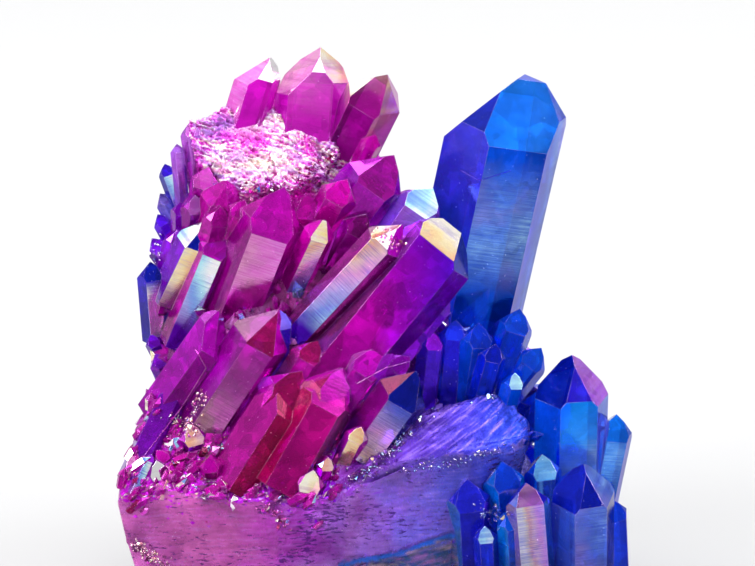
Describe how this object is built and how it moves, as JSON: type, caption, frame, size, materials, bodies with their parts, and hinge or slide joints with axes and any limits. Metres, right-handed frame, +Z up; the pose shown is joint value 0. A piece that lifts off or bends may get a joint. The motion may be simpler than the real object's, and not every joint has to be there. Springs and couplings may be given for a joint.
{
  "type": "aura quartz cluster",
  "caption": "Natural cluster of magenta-to-blue metal-coated quartz points grown on a broken quartz matrix with a flat base, for display.",
  "frame": {"origin": "on the flat base, under the middle of the bounding box", "axes": "+Z up from the base, -Y towards the front, +X towards the blue points on the right"},
  "size_m": [0.0648, 0.0488, 0.0709],
  "materials": {
    "aura_quartz": "glossy"
  },
  "bodies": {
    "root": {"quartz_cluster": "aura_quartz"}
  },
  "joints": []
}
